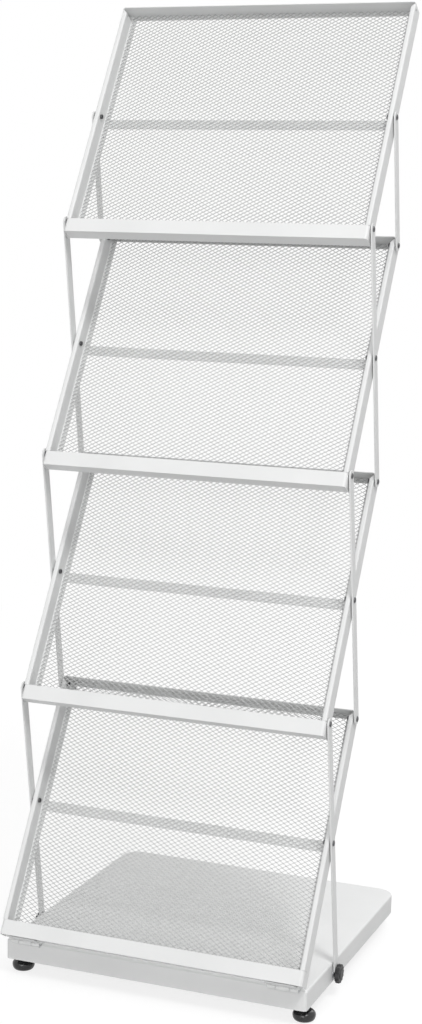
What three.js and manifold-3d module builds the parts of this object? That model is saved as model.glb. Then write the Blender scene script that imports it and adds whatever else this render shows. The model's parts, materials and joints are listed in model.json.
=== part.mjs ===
// Folding periodical display rack. Four sheet-steel trays with expanded-metal backs lean back one above
// the other, flat straps outside them make a lazy-tongs linkage, and the lowest tray is hinged to the
// front edge of a flat base that the lowest straps are clamped to.
// Millimetres and degrees, +Z up, the front faces -Y, origin on the floor under the middle of the rack.

import * as THREE from "three";
import { mergeGeometries, mergeVertices } from "three/addons/utils/BufferGeometryUtils.js";
import Module from "manifold-3d";

// Trays, drawn upright with their middle pivots on the local X axis
const TRAY_COUNT = 4;
const TRAY_WIDTH = 470;
const TRAY_HEIGHT = 401;
const TRAY_DEPTH = 24;
const TRAY_SHEET = 1.2;
const TRAY_TILT = 31;
const PIVOT_SETBACK = 7.5; // front rim to the pivots' plane
const TOP_MARGIN = 11; // top pivots to the top edge
const BOTTOM_MARGIN = 20; // bottom pivots to the bottom edge
const CHANNEL_WIDTH = 7.5;
const BACK_FLANGE = 8.5;
const LIP_HEIGHT = 22;

// Expanded-metal panels and the rails behind them
const MESH_THICKNESS = 1.5;
const MESH_MARGIN = 2; // panel's side edges to the channels' inner walls
const MESH_STRAND = 4;
const MESH_COLUMNS = 5; // diamonds across the frame's window
const MESH_ROWS = 6;
const RAIL_WIDTH = 16;
const RAIL_SHEET = 1.2;
const RAIL_DROP = 3.5; // rail's middle below the middle pivots

// Straps and pivot rivets
const STRAP_WIDTH = 16;
const STRAP_THICKNESS = 2.2;
const STRAP_GAP = 1.8; // tray wall to strap, held by the rivets' shoulders
const STRAP_LEAN = 10;
const RIVET_SHANK_RADIUS = 2.4;
const RIVET_SHOULDER_RADIUS = 3.6;
const RIVET_HEAD_RADIUS = 4.2;
const RIVET_HEAD_HEIGHT = 1.8;
const RIVET_CROWN_RADIUS = 2.6; // flat top of the head
const RIVET_TAIL_RADIUS = 3.4; // set end inside the tray
const RIVET_TAIL_LENGTH = 2.8;

// Base
const BASE_DEPTH = 445;
const BASE_HEIGHT = 29.5;
const BASE_SHEET = 1.5;
const BASE_FRONT_RADIUS = 5;
const BASE_REAR_RADIUS = 28;

// Levelling feet, each a pad on a threaded stud in a nut under the base's top sheet
const FOOT_HEIGHT = 25; // floor to the base's lower edge
const FOOT_SIDE_INSET = 13;
const FOOT_FRONT_INSET = 31;
const FOOT_REAR_INSET = 45; // from the rear and from the sides, clear of the rounded corners
const PAD_RADIUS = 17;
const PAD_SOLE_RADIUS = 12;
const PAD_CROWN_RADIUS = 11;
const PAD_WIDEST = 8; // floor to the pad's widest ring
const PAD_HEIGHT = 16;
const FOOT_STUD_RADIUS = 4;
const FOOT_STUD_MARGIN = 2; // stud's end to the top sheet
const FOOT_NUT_RADIUS = 9;
const FOOT_NUT_HEIGHT = 12;

// Lock screws with their knobs, nuts and washers
const LOCK_DROP = 18.5; // base's top to the screw
const LOCK_SCREW_RADIUS = 3;
const LOCK_NUT_RADIUS = 8;
const LOCK_NUT_LENGTH = 8;
const LOCK_WASHER_RADIUS = 9;
const LOCK_SLOT_RISE = 16; // slot's slope, up towards the front edge of the strap
const KNOB_RADIUS = 14;
const KNOB_THICKNESS = 8;
const KNOB_FLUTES = 12;
const KNOB_FLUTE_DEPTH = 1.4;

// Butt hinges between the base's front edge and the lowest tray
const HINGE_LENGTH = 46;
const HINGE_SIDE_INSET = 34; // hinge's middle from the tray's side
const HINGE_MIDDLE_KNUCKLE = 20;
const HINGE_KNUCKLE_RADIUS = 3.4;
const HINGE_PIN_RADIUS = 1.6;
const HINGE_PIN_OVERHANG = 1;
const HINGE_LEAF_WIDTH = 18;
const HINGE_LEAF_THICKNESS = 1.5;
const HINGE_SETBACK = 1.5; // tray's back plane to the hinge's axis

// Clearances
const SEAT_GAP = 0.3; // between pieces that rest on each other
const PIVOT_CLEARANCE = 0.5; // round shanks, studs and screws
const PIN_CLEARANCE = 0.3;
const RUNNING_GAP = 0.6; // beside and in front of the hinge knuckles
const CUT_MARGIN = 1; // how far a cutting shape reaches past what it cuts

// Facets of round shapes
const RIVET_SIDES = 8;
const HOLE_SIDES = 12;
const NUT_SIDES = 6;
const KNUCKLE_SIDES = 14;
const PAD_SIDES = 18;
const ARC_STEPS = 5;
const POINTS_PER_FLUTE = 4;

const POWDER_COAT = { color: 0xe4e5e3, roughness: 0.45, metalness: 0.1 };
const ZINC = { color: 0xb9bbbd, roughness: 0.35, metalness: 0.9 };
const DARK_STEEL = { color: 0x4b4c4e, roughness: 0.4, metalness: 0.8 };
const BLACK_PLASTIC = { color: 0x161616, roughness: 0.5, metalness: 0 };

// Tray planes in the tray's own frame
const trayHalf = TRAY_WIDTH / 2;
const channelInner = trayHalf - CHANNEL_WIDTH;
const trayFront = -PIVOT_SETBACK;
const trayBack = TRAY_DEPTH - PIVOT_SETBACK;
const flangeFront = trayBack - TRAY_SHEET;
const pivotPitch = (TRAY_HEIGHT - TOP_MARGIN - BOTTOM_MARGIN) / 2; // middle pivots to the outer ones
const trayTop = pivotPitch + TOP_MARGIN;
const trayBottom = -pivotPitch - BOTTOM_MARGIN;

// Strap planes
const strapInner = trayHalf + STRAP_GAP;
const strapOuter = strapInner + STRAP_THICKNESS;

// Base planes, with the base's front edge at Y = 0 until the whole rack is centred
const baseHalf = trayHalf;
const baseBottom = FOOT_HEIGHT;
const baseTop = baseBottom + BASE_HEIGHT;
const sheetUnderside = baseTop - BASE_SHEET;

// Hinge axis in the rack's frame and in the lowest tray's frame
const hingeAxis = {
  y: -HINGE_KNUCKLE_RADIUS - RUNNING_GAP,
  z: baseTop + SEAT_GAP + HINGE_LEAF_THICKNESS / 2,
};
const hingeInTray = {
  y: trayBack + HINGE_SETBACK,
  z: trayBottom - SEAT_GAP - HINGE_KNUCKLE_RADIUS,
};

// Middle pivots: the lowest tray hangs on its hinge, and each tray above is one linkage stage further up
const tilt = THREE.MathUtils.degToRad(TRAY_TILT);
const lean = THREE.MathUtils.degToRad(STRAP_LEAN);
const lowestPivot = {
  y: hingeAxis.y - hingeInTray.y * Math.cos(tilt) - hingeInTray.z * Math.sin(tilt),
  z: hingeAxis.z + hingeInTray.y * Math.sin(tilt) - hingeInTray.z * Math.cos(tilt),
};
const stage = {
  y: pivotPitch * (Math.sin(tilt) - Math.sin(lean)),
  z: pivotPitch * (Math.cos(tilt) + Math.cos(lean)),
};

// Lock screws, on the lowest straps' centre line
const lockZ = baseTop - LOCK_DROP;
const lockReach = (lowestPivot.z - lockZ) / Math.cos(lean);
const lockY = lowestPivot.y + lockReach * Math.sin(lean);

const SIDES = [
  { name: "left", sign: -1 },
  { name: "right", sign: 1 },
];

const wasm = await Module();
wasm.setup();

// A closed geometry as a solid for joining and cutting
function toSolid(geometry) {
  const bare = geometry.clone();
  bare.deleteAttribute("normal");
  bare.deleteAttribute("uv");
  const merged = mergeVertices(bare);
  const vertProperties = new Float32Array(merged.attributes.position.array);
  const triVerts = new Uint32Array(merged.index.array);
  return new wasm.Manifold(new wasm.Mesh({ numProp: 3, vertProperties, triVerts }));
}

function toGeometry(solid) {
  const { vertProperties, triVerts } = solid.getMesh();
  const geometry = new THREE.BufferGeometry();
  geometry.setAttribute("position", new THREE.BufferAttribute(vertProperties, 3));
  geometry.setIndex(new THREE.BufferAttribute(triVerts, 1));
  geometry.computeVertexNormals();
  return geometry;
}

// Joins the first list of geometries and cuts the second list away
function carve(joined, cuts = []) {
  let solid = joined.map(toSolid).reduce((sum, piece) => sum.add(piece));
  for (const cut of cuts) {
    solid = solid.subtract(toSolid(cut));
  }
  return toGeometry(solid);
}

function block([x0, x1], [y0, y1], [z0, z1]) {
  const geometry = new THREE.BoxGeometry(x1 - x0, y1 - y0, z1 - z0);
  return geometry.translate((x0 + x1) / 2, (y0 + y1) / 2, (z0 + z1) / 2);
}

// Round bars along X and along Z, from start to end, centred on the axis
function barAlongX(radius, [start, end], sides) {
  const geometry = new THREE.CylinderGeometry(radius, radius, end - start, sides);
  return geometry.rotateZ(-Math.PI / 2).translate((start + end) / 2, 0, 0);
}

function barAlongZ(radius, [start, end], sides) {
  const geometry = new THREE.CylinderGeometry(radius, radius, end - start, sides);
  return geometry.rotateX(Math.PI / 2).translate(0, 0, (start + end) / 2);
}

// A flat shape drawn on Y and Z, given a thickness along X
function plateAcrossX(shape, [start, end]) {
  const options = { depth: end - start, bevelEnabled: false, curveSegments: ARC_STEPS };
  const turn = new THREE.Matrix4().makeBasis(
    new THREE.Vector3(0, 1, 0),
    new THREE.Vector3(0, 0, 1),
    new THREE.Vector3(1, 0, 0),
  );
  return new THREE.ExtrudeGeometry(shape, options).applyMatrix4(turn).translate(start, 0, 0);
}

// A flat shape drawn on X and Z, given a thickness along Y
function plateAcrossY(shape, [start, end]) {
  const options = { depth: end - start, bevelEnabled: false, curveSegments: ARC_STEPS };
  return new THREE.ExtrudeGeometry(shape, options).rotateX(Math.PI / 2).translate(0, end, 0);
}

function roundHole(x, y, radius) {
  const path = new THREE.Path();
  path.absarc(x, y, radius, 0, 2 * Math.PI, true);
  return path;
}

function addPiece(parent, name, geometry, look) {
  const material = new THREE.MeshStandardMaterial({ ...look, flatShading: true });
  const mesh = new THREE.Mesh(geometry, material);
  mesh.name = name;
  parent.add(mesh);
  return mesh;
}

// Tray frame: side channels open to the rear, top and bottom walls, front lip and a flange behind the mesh
function trayFrameGeometry() {
  const depth = [trayFront, trayBack];
  const height = [trayBottom, trayTop];
  const frontSheet = [trayFront, trayFront + TRAY_SHEET];
  const flangeSheet = [flangeFront, trayBack];
  const sheets = [];
  const holes = [];
  for (const { sign } of SIDES) {
    const span = (inner, outer) => [sign * inner, sign * outer].sort((a, b) => a - b);
    const innerWall = channelInner + TRAY_SHEET;
    sheets.push(block(span(trayHalf - TRAY_SHEET, trayHalf), depth, height));
    sheets.push(block(span(channelInner, trayHalf), frontSheet, height));
    sheets.push(block(span(channelInner, innerWall), depth, height));
    sheets.push(block(span(channelInner - BACK_FLANGE, innerWall), flangeSheet, height));
    for (const pivotZ of [pivotPitch, 0, -pivotPitch]) {
      const reach = span(channelInner - CUT_MARGIN, trayHalf + CUT_MARGIN);
      const hole = barAlongX(RIVET_SHANK_RADIUS + PIVOT_CLEARANCE, reach, HOLE_SIDES);
      holes.push(hole.translate(0, 0, pivotZ));
    }
  }
  const width = [-trayHalf, trayHalf];
  sheets.push(block(width, depth, [trayTop - TRAY_SHEET, trayTop]));
  sheets.push(block(width, flangeSheet, [trayTop - BACK_FLANGE, trayTop]));
  sheets.push(block(width, depth, [trayBottom, trayBottom + TRAY_SHEET]));
  sheets.push(block(width, flangeSheet, [trayBottom, trayBottom + BACK_FLANGE]));
  sheets.push(block(width, frontSheet, [trayBottom, trayBottom + LIP_HEIGHT]));
  return carve(sheets, holes);
}

// Expanded-metal panel in front of the flange: a sheet with staggered diamond gaps between its strands.
// Diamonds centred on the window's edges are cut through there
function meshPanelGeometry() {
  const back = flangeFront - SEAT_GAP;
  const half = channelInner - MESH_MARGIN;
  const height = [trayBottom + TRAY_SHEET + SEAT_GAP, trayTop - TRAY_SHEET - SEAT_GAP];
  const sheet = block([-half, half], [back - MESH_THICKNESS, back], height);

  const windowHalf = channelInner - BACK_FLANGE;
  const windowTop = trayTop - BACK_FLANGE;
  const windowBottom = trayBottom + BACK_FLANGE;
  const cutReach = [back - MESH_THICKNESS - CUT_MARGIN, back + CUT_MARGIN];
  const window = block([-windowHalf, windowHalf], cutReach, [windowBottom, windowTop]);

  const stepX = windowHalf / MESH_COLUMNS;
  const stepZ = (windowTop - windowBottom) / 2 / MESH_ROWS;
  const shrink = (MESH_STRAND / 2) * Math.hypot(1 / stepX, 1 / stepZ);
  const gapX = stepX * (1 - shrink);
  const gapZ = stepZ * (1 - shrink);
  const gaps = [];
  for (let column = 0; column <= 2 * MESH_COLUMNS; column += 1) {
    for (let row = column % 2; row <= 2 * MESH_ROWS; row += 2) {
      const x = -windowHalf + column * stepX;
      const z = windowBottom + row * stepZ;
      const gap = new THREE.Shape();
      gap.moveTo(x - gapX, z).lineTo(x, z - gapZ).lineTo(x + gapX, z).lineTo(x, z + gapZ).closePath();
      gaps.push(plateAcrossY(gap, cutReach));
    }
  }
  const diamonds = toSolid(mergeGeometries(gaps)).intersect(toSolid(window));
  return toGeometry(toSolid(sheet).subtract(diamonds));
}

// Flat rail behind the mesh, between the side flanges
function crossRailGeometry() {
  const half = channelInner - BACK_FLANGE - SEAT_GAP;
  const height = [-RAIL_DROP - RAIL_WIDTH / 2, -RAIL_DROP + RAIL_WIDTH / 2];
  return block([-half, half], [flangeFront, flangeFront + RAIL_SHEET], height);
}

// Strap with its middle pivot at the origin and round ends at the given distances above and below it
function strapGeometry({ above, below, sign, slotted }) {
  const half = STRAP_WIDTH / 2;
  const bar = new THREE.Shape();
  bar.absarc(0, above, half, 0, Math.PI);
  bar.absarc(0, -below, half, Math.PI, 2 * Math.PI);
  bar.closePath();
  const holeHeights = [above, 0, slotted ? 0 : -below];
  for (const z of new Set(holeHeights)) {
    bar.holes.push(roundHole(0, z, RIVET_SHANK_RADIUS + PIVOT_CLEARANCE));
  }
  const thickness = [strapInner, strapOuter];
  const span = sign > 0 ? thickness : [-strapOuter, -strapInner];
  const plate = plateAcrossX(bar, span);
  if (!slotted) {
    return plate;
  }
  const slotHalf = LOCK_SCREW_RADIUS + PIVOT_CLEARANCE;
  const cutSpan = [span[0] - CUT_MARGIN, span[1] + CUT_MARGIN];
  const seat = barAlongX(slotHalf, cutSpan, HOLE_SIDES).translate(0, 0, -below);
  const slot = block(cutSpan, [-STRAP_WIDTH, 0], [-slotHalf, slotHalf]);
  slot.rotateX(-THREE.MathUtils.degToRad(LOCK_SLOT_RISE)).translate(0, 0, -below);
  return carve([plate], [seat, slot]);
}

// Shouldered rivet on the right side: tail inside the tray, shank through the channel, spacer, shank and head
function rivetGeometry() {
  const innerSeat = channelInner - SEAT_GAP;
  const outerSeat = strapOuter + SEAT_GAP;
  const profile = [
    [0, innerSeat - RIVET_TAIL_LENGTH],
    [RIVET_TAIL_RADIUS, innerSeat - RIVET_TAIL_LENGTH],
    [RIVET_TAIL_RADIUS, innerSeat],
    [RIVET_SHANK_RADIUS, innerSeat],
    [RIVET_SHANK_RADIUS, trayHalf + SEAT_GAP],
    [RIVET_SHOULDER_RADIUS, trayHalf + SEAT_GAP],
    [RIVET_SHOULDER_RADIUS, strapInner - SEAT_GAP],
    [RIVET_SHANK_RADIUS, strapInner - SEAT_GAP],
    [RIVET_SHANK_RADIUS, outerSeat],
    [RIVET_HEAD_RADIUS, outerSeat],
    [RIVET_CROWN_RADIUS, outerSeat + RIVET_HEAD_HEIGHT],
    [0, outerSeat + RIVET_HEAD_HEIGHT],
  ];
  const points = profile.map(([radius, x]) => new THREE.Vector2(radius, x));
  return new THREE.LatheGeometry(points, RIVET_SIDES).rotateZ(-Math.PI / 2);
}

// Outline of the base in plan, drawn in by the given distance
function basePlan(inset) {
  const half = baseHalf - inset;
  const rear = BASE_DEPTH - inset;
  const frontRadius = BASE_FRONT_RADIUS - inset;
  const rearRadius = BASE_REAR_RADIUS - inset;
  const plan = new THREE.Shape();
  plan.absarc(half - frontRadius, inset + frontRadius, frontRadius, -Math.PI / 2, 0);
  plan.absarc(half - rearRadius, rear - rearRadius, rearRadius, 0, Math.PI / 2);
  plan.absarc(-half + rearRadius, rear - rearRadius, rearRadius, Math.PI / 2, Math.PI);
  plan.absarc(-half + frontRadius, inset + frontRadius, frontRadius, Math.PI, 1.5 * Math.PI);
  plan.closePath();
  return plan;
}

function baseSlab(inset, [z0, z1]) {
  const options = { depth: z1 - z0, bevelEnabled: false, curveSegments: ARC_STEPS };
  return new THREE.ExtrudeGeometry(basePlan(inset), options).translate(0, 0, z0);
}

const FEET = SIDES.flatMap(({ name, sign }) => [
  { name: `front_${name}`, x: sign * (baseHalf - FOOT_SIDE_INSET), y: FOOT_FRONT_INSET },
  { name: `rear_${name}`, x: sign * (baseHalf - FOOT_REAR_INSET), y: BASE_DEPTH - FOOT_REAR_INSET },
]);

// Base: a shallow inverted tray with welded nuts for the lock screws
function basePlateGeometry() {
  const joined = [];
  const cuts = [];
  const wallInner = baseHalf - BASE_SHEET;
  for (const { sign } of SIDES) {
    const span = (inner, outer) => [sign * inner, sign * outer].sort((a, b) => a - b);
    const nutSpan = span(wallInner - LOCK_NUT_LENGTH, baseHalf - BASE_SHEET / 2);
    joined.push(barAlongX(LOCK_NUT_RADIUS, nutSpan, NUT_SIDES).translate(0, lockY, lockZ));
    const boreSpan = span(wallInner - LOCK_NUT_LENGTH - CUT_MARGIN, baseHalf + CUT_MARGIN);
    const bore = barAlongX(LOCK_SCREW_RADIUS + PIVOT_CLEARANCE, boreSpan, HOLE_SIDES);
    cuts.push(bore.translate(0, lockY, lockZ));
  }
  const shell = carve(
    [baseSlab(0, [baseBottom, baseTop])],
    [baseSlab(BASE_SHEET, [baseBottom - CUT_MARGIN, sheetUnderside])],
  );
  return carve([shell, ...joined], cuts);
}

// Nut for a levelling foot, fixed under the base's top sheet
function footNutGeometry() {
  const nutTop = sheetUnderside - SEAT_GAP;
  const nutBottom = nutTop - FOOT_NUT_HEIGHT;
  const nut = barAlongZ(FOOT_NUT_RADIUS, [nutBottom, nutTop], NUT_SIDES);
  const boreReach = [nutBottom - CUT_MARGIN, nutTop + CUT_MARGIN];
  return carve([nut], [barAlongZ(FOOT_STUD_RADIUS + PIVOT_CLEARANCE, boreReach, HOLE_SIDES)]);
}

// Levelling foot standing on the floor at the origin: flat sole, bulging pad and stud
function footGeometry() {
  const profile = [
    [0, 0],
    [PAD_SOLE_RADIUS, 0],
    [PAD_RADIUS, PAD_WIDEST],
    [PAD_CROWN_RADIUS, PAD_HEIGHT],
    [FOOT_STUD_RADIUS, PAD_HEIGHT],
    [FOOT_STUD_RADIUS, sheetUnderside - FOOT_STUD_MARGIN],
    [0, sheetUnderside - FOOT_STUD_MARGIN],
  ];
  const points = profile.map(([radius, z]) => new THREE.Vector2(radius, z));
  return new THREE.LatheGeometry(points, PAD_SIDES).rotateX(Math.PI / 2);
}

// Fluted knob outside the right strap, moulded on the screw that runs into the base's nut
function lockKnobGeometry() {
  const outline = [];
  const count = KNOB_FLUTES * POINTS_PER_FLUTE;
  for (let index = 0; index < count; index += 1) {
    const angle = (index / count) * 2 * Math.PI;
    const wave = (1 - Math.cos(KNOB_FLUTES * angle)) / 2;
    const radius = KNOB_RADIUS - KNOB_FLUTE_DEPTH * wave;
    outline.push(new THREE.Vector2(radius * Math.cos(angle), radius * Math.sin(angle)));
  }
  const knobInner = strapOuter + SEAT_GAP;
  const knob = plateAcrossX(new THREE.Shape(outline), [knobInner, knobInner + KNOB_THICKNESS]);
  const screwEnd = baseHalf - BASE_SHEET - LOCK_NUT_LENGTH;
  const screw = barAlongX(LOCK_SCREW_RADIUS, [screwEnd, knobInner + KNOB_THICKNESS / 2], HOLE_SIDES);
  return carve([knob, screw]);
}

// Washer between the right strap and the base's side
function lockWasherGeometry() {
  const ring = new THREE.Shape();
  ring.absarc(0, 0, LOCK_WASHER_RADIUS, 0, 2 * Math.PI);
  ring.holes.push(roundHole(0, 0, LOCK_SCREW_RADIUS + PIVOT_CLEARANCE));
  return plateAcrossX(ring, [baseHalf + SEAT_GAP, strapInner - SEAT_GAP]);
}

// Hinge pieces with the hinge's middle and axis at the origin
const hingeHalf = HINGE_LENGTH / 2;
const middleHalf = HINGE_MIDDLE_KNUCKLE / 2;
const leafStart = HINGE_KNUCKLE_RADIUS + RUNNING_GAP;
const leafEnd = leafStart + HINGE_LEAF_WIDTH;

function pinBore() {
  const reach = [-hingeHalf - CUT_MARGIN, hingeHalf + CUT_MARGIN];
  return barAlongX(HINGE_PIN_RADIUS + PIN_CLEARANCE, reach, HOLE_SIDES);
}

// Base leaf: flat plate towards +Y in the axis's plane, with the two outer knuckles
function hingeBaseLeafGeometry() {
  const thickness = [-HINGE_LEAF_THICKNESS / 2, HINGE_LEAF_THICKNESS / 2];
  const joined = [block([-hingeHalf, hingeHalf], [leafStart, leafEnd], thickness)];
  for (const { sign } of SIDES) {
    const span = [sign * (middleHalf + RUNNING_GAP), sign * hingeHalf].sort((a, b) => a - b);
    joined.push(barAlongX(HINGE_KNUCKLE_RADIUS, span, KNUCKLE_SIDES));
    joined.push(block(span, [0, leafStart + CUT_MARGIN], thickness));
  }
  return carve(joined, [pinBore()]);
}

// Tray leaf: flat plate towards -Y, level with the top of the middle knuckle
function hingeTrayLeafGeometry() {
  const thickness = [HINGE_KNUCKLE_RADIUS - HINGE_LEAF_THICKNESS, HINGE_KNUCKLE_RADIUS];
  const middle = [-middleHalf, middleHalf];
  const joined = [
    block([-hingeHalf, hingeHalf], [-leafEnd, -leafStart], thickness),
    block(middle, [-leafStart - CUT_MARGIN, 0], thickness),
    barAlongX(HINGE_KNUCKLE_RADIUS, middle, KNUCKLE_SIDES),
  ];
  return carve(joined, [pinBore()]);
}

function hingePinGeometry() {
  const reach = hingeHalf + HINGE_PIN_OVERHANG;
  return barAlongX(HINGE_PIN_RADIUS, [-reach, reach], HOLE_SIDES);
}

// Turns a piece made for the right side round to the left side
function placeOnSide(mesh, sign) {
  mesh.rotation.z = sign > 0 ? 0 : Math.PI;
}

function addBase(rack) {
  addPiece(rack, "base_plate", basePlateGeometry(), POWDER_COAT);
  for (const { name, x, y } of FEET) {
    addPiece(rack, `levelling_foot_${name}`, footGeometry(), BLACK_PLASTIC).position.set(x, y, 0);
    addPiece(rack, `foot_nut_${name}`, footNutGeometry(), ZINC).position.set(x, y, 0);
  }
  for (const { name, sign } of SIDES) {
    const washer = addPiece(rack, `lock_washer_${name}`, lockWasherGeometry(), ZINC);
    const knob = addPiece(rack, `lock_knob_${name}`, lockKnobGeometry(), BLACK_PLASTIC);
    for (const mesh of [washer, knob]) {
      placeOnSide(mesh, sign);
      mesh.position.set(0, lockY, lockZ);
    }
    const hingeX = sign * (trayHalf - HINGE_SIDE_INSET);
    const leaf = addPiece(rack, `hinge_base_leaf_${name}`, hingeBaseLeafGeometry(), POWDER_COAT);
    const pin = addPiece(rack, `hinge_pin_${name}`, hingePinGeometry(), ZINC);
    for (const mesh of [leaf, pin]) {
      mesh.position.set(hingeX, hingeAxis.y, hingeAxis.z);
    }
  }
}

// Trays are counted from the top. The top tray's top pivots and the lowest tray's bottom pivots stay empty
function addTray(rack, number) {
  const stagesUp = TRAY_COUNT - number;
  const pivotY = lowestPivot.y + stagesUp * stage.y;
  const pivotZ = lowestPivot.z + stagesUp * stage.z;
  const isTop = number === 1;
  const isLowest = number === TRAY_COUNT;

  const tray = new THREE.Group();
  tray.position.set(0, pivotY, pivotZ);
  tray.rotation.x = -tilt;
  rack.add(tray);
  addPiece(tray, `tray_frame_${number}`, trayFrameGeometry(), POWDER_COAT);
  addPiece(tray, `mesh_panel_${number}`, meshPanelGeometry(), POWDER_COAT);
  addPiece(tray, `cross_rail_${number}`, crossRailGeometry(), POWDER_COAT);

  const straps = new THREE.Group();
  straps.position.copy(tray.position);
  straps.rotation.x = lean;
  rack.add(straps);

  for (const { name, sign } of SIDES) {
    const rivets = [{ place: "middle", z: 0 }];
    if (!isTop) {
      rivets.push({ place: "top", z: pivotPitch });
    }
    if (!isLowest) {
      rivets.push({ place: "bottom", z: -pivotPitch });
    }
    for (const { place, z } of rivets) {
      const rivet = addPiece(tray, `rivet_${place}_${number}_${name}`, rivetGeometry(), DARK_STEEL);
      placeOnSide(rivet, sign);
      rivet.position.z = z;
    }
    const above = isTop ? 0 : pivotPitch;
    const below = isLowest ? lockReach : pivotPitch;
    const strap = strapGeometry({ above, below, sign, slotted: isLowest });
    addPiece(straps, `strap_${number}_${name}`, strap, POWDER_COAT);
    if (isLowest) {
      const leaf = addPiece(tray, `hinge_tray_leaf_${name}`, hingeTrayLeafGeometry(), POWDER_COAT);
      leaf.position.set(sign * (trayHalf - HINGE_SIDE_INSET), hingeInTray.y, hingeInTray.z);
    }
  }
}

const rack = new THREE.Group();
addBase(rack);
for (let number = 1; number <= TRAY_COUNT; number += 1) {
  addTray(rack, number);
}

// The base's rear edge and the lowest lip reach furthest: the origin goes midway between them
const box = new THREE.Box3().setFromObject(rack, true);
rack.position.y = -(box.min.y + box.max.y) / 2;

export default rack;
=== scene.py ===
"""Looks of a folding periodical rack: sheet-steel trays with expanded-metal backs on lazy-tongs straps.

Each piece is drawn in millimetres in its own frame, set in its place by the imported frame's joints and boxes,
and rides on the body that carries it. The front faces -Y and +Z is up.
"""

import json
import math

import bmesh
import bpy
from mathutils import Matrix, Vector
from mathutils.geometry import tessellate_polygon


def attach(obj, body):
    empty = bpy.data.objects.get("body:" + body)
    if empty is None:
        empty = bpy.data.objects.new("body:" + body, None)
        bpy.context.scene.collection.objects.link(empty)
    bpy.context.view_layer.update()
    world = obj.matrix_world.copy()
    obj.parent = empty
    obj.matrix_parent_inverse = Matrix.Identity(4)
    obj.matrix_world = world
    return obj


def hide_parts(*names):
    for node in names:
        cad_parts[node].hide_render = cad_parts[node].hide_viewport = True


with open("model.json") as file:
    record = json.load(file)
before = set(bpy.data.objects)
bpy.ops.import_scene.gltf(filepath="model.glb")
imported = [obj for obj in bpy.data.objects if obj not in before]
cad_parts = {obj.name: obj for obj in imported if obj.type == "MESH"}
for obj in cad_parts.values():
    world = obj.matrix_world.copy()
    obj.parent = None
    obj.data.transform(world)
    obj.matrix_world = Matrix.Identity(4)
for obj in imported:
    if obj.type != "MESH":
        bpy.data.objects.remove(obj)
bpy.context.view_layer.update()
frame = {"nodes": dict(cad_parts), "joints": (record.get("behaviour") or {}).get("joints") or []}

MM = 0.001

# Photograph's camera, in millimetres, degrees and pixels of a 422 x 1024 picture
CAMERA_PLACE = (1015.6, -2601.6, 1120.5)
CAMERA_YAW = 21.402
CAMERA_PITCH = -8.668
CAMERA_ROLL = 1.272
FOCAL_LENGTH = 1896.89
OPTICAL_CENTRE = (212.97, 505.33)
PICTURE = (422, 1024)
SENSOR = 36.0
CAMERA_REACH = 100000.0

# Tray frames of folded sheet
SHEET = 1.2
CHANNEL_WIDTH = 7.5
BACK_FLANGE = 8.5
RIM_BEND = 1.8
FLANGE_BEND = 2.0
TOP_BEND = 3.2
RIM_MITRE_START = 2.5
LIP_HEIGHT = 22.0
LIP_BEND = 4.6
LIP_WRAP = 8.0
BOTTOM_INSET = 1.0
SEAM = 0.1
CUT_STEP = 0.4
EDGE = 0.2

# Expanded metal
DIAMOND_WIDTH = 10.6
DIAMOND_HEIGHT = 6.46
STRAND_WIDTH = 1.4
STRAND_THICKNESS = 0.8
STRAND_TILT = math.radians(76)
STRAND_SIDES = 4

# Rivets, straps and their holes
SHANK_RADIUS = 2.4
PIVOT_CLEARANCE = 0.5
SHOULDER_RADIUS = 3.6
RIVET_HEAD_RADIUS = 4.2
RIVET_TAIL_RADIUS = 3.4
RIVET_TAIL_EDGE = 0.5
RIVET_HOLLOW_RADIUS = 2.0
RIVET_HOLLOW_DEPTH = 2.3
SEAT_GAP = 0.3
STRAP_EDGE = 0.35
SLOT_RISE = math.radians(16)

# Base, feet and lock
BASE_SHEET = 1.5
BASE_BEND = 3.0
BASE_FRONT_RADIUS = 5.0
BASE_REAR_RADIUS = 28.0
FOOT_PAD_HEIGHT = 16.0
FOOT_WIDEST_HEIGHT = 8.0
FOOT_SOLE_RADIUS = 12.0
FOOT_SOLE_EDGE = 1.0
FOOT_SOLE_RISE = 0.2
FOOT_NECK_RADIUS = 6.0
STUD_RADIUS = 4.0
THREAD_PITCH = 1.25
THREAD_DEPTH = 0.55
# Corners of a thread ring: share of the pitch, share of the depth
THREAD_RING = ((0.2, 1), (0.45, 0), (0.65, 0), (0.9, 1))
LOCK_SCREW_RADIUS = 3.0
LOCK_NUT_RADIUS = 8.0
LOCK_NUT_LENGTH = 8.0
KNOB_FLUTES = 12
KNOB_FLUTE_DEPTH = 1.5
KNOB_FLUTE_POWER = 1.6
KNOB_RIM = 1.2
KNOB_CAP_RADIUS = 8.0
KNOB_CAP_RISE = 1.2
KNOB_CAP_EDGE = 0.4
KNOB_CAP_ROUND = 1.2
KNOB_GROOVE_WIDTH = 1.6
KNOB_GROOVE_DEPTH = 0.5
KNOB_GROOVE_FLUTE = 0.2

# Hinges
HINGE_PIN_RADIUS = 1.6
HINGE_KNUCKLE_RADIUS = 3.4
HINGE_MIDDLE_KNUCKLE = 20.0
HINGE_LEAF = 1.5
HINGE_GAP = 0.6
HINGE_LEAF_CORNER = 2.0

# How shapes are rounded, merged and mitred
BEND_STEPS = 6
DOME_STEPS = 7
FOOT_STEPS = 9
CORNER_STEPS = 10
FLUTE_STEPS = 10
HEX_SIDES = 6
ROUND_SIDES = 32
FINE_SIDES = 48
SHARP_ANGLE = math.radians(35)
MERGE_DISTANCE = 0.0001
MITRE_LIMIT = 0.5

# Where a material's noise is darkest and lightest
COLOUR_STOPS = (0.3, 0.7)

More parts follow.
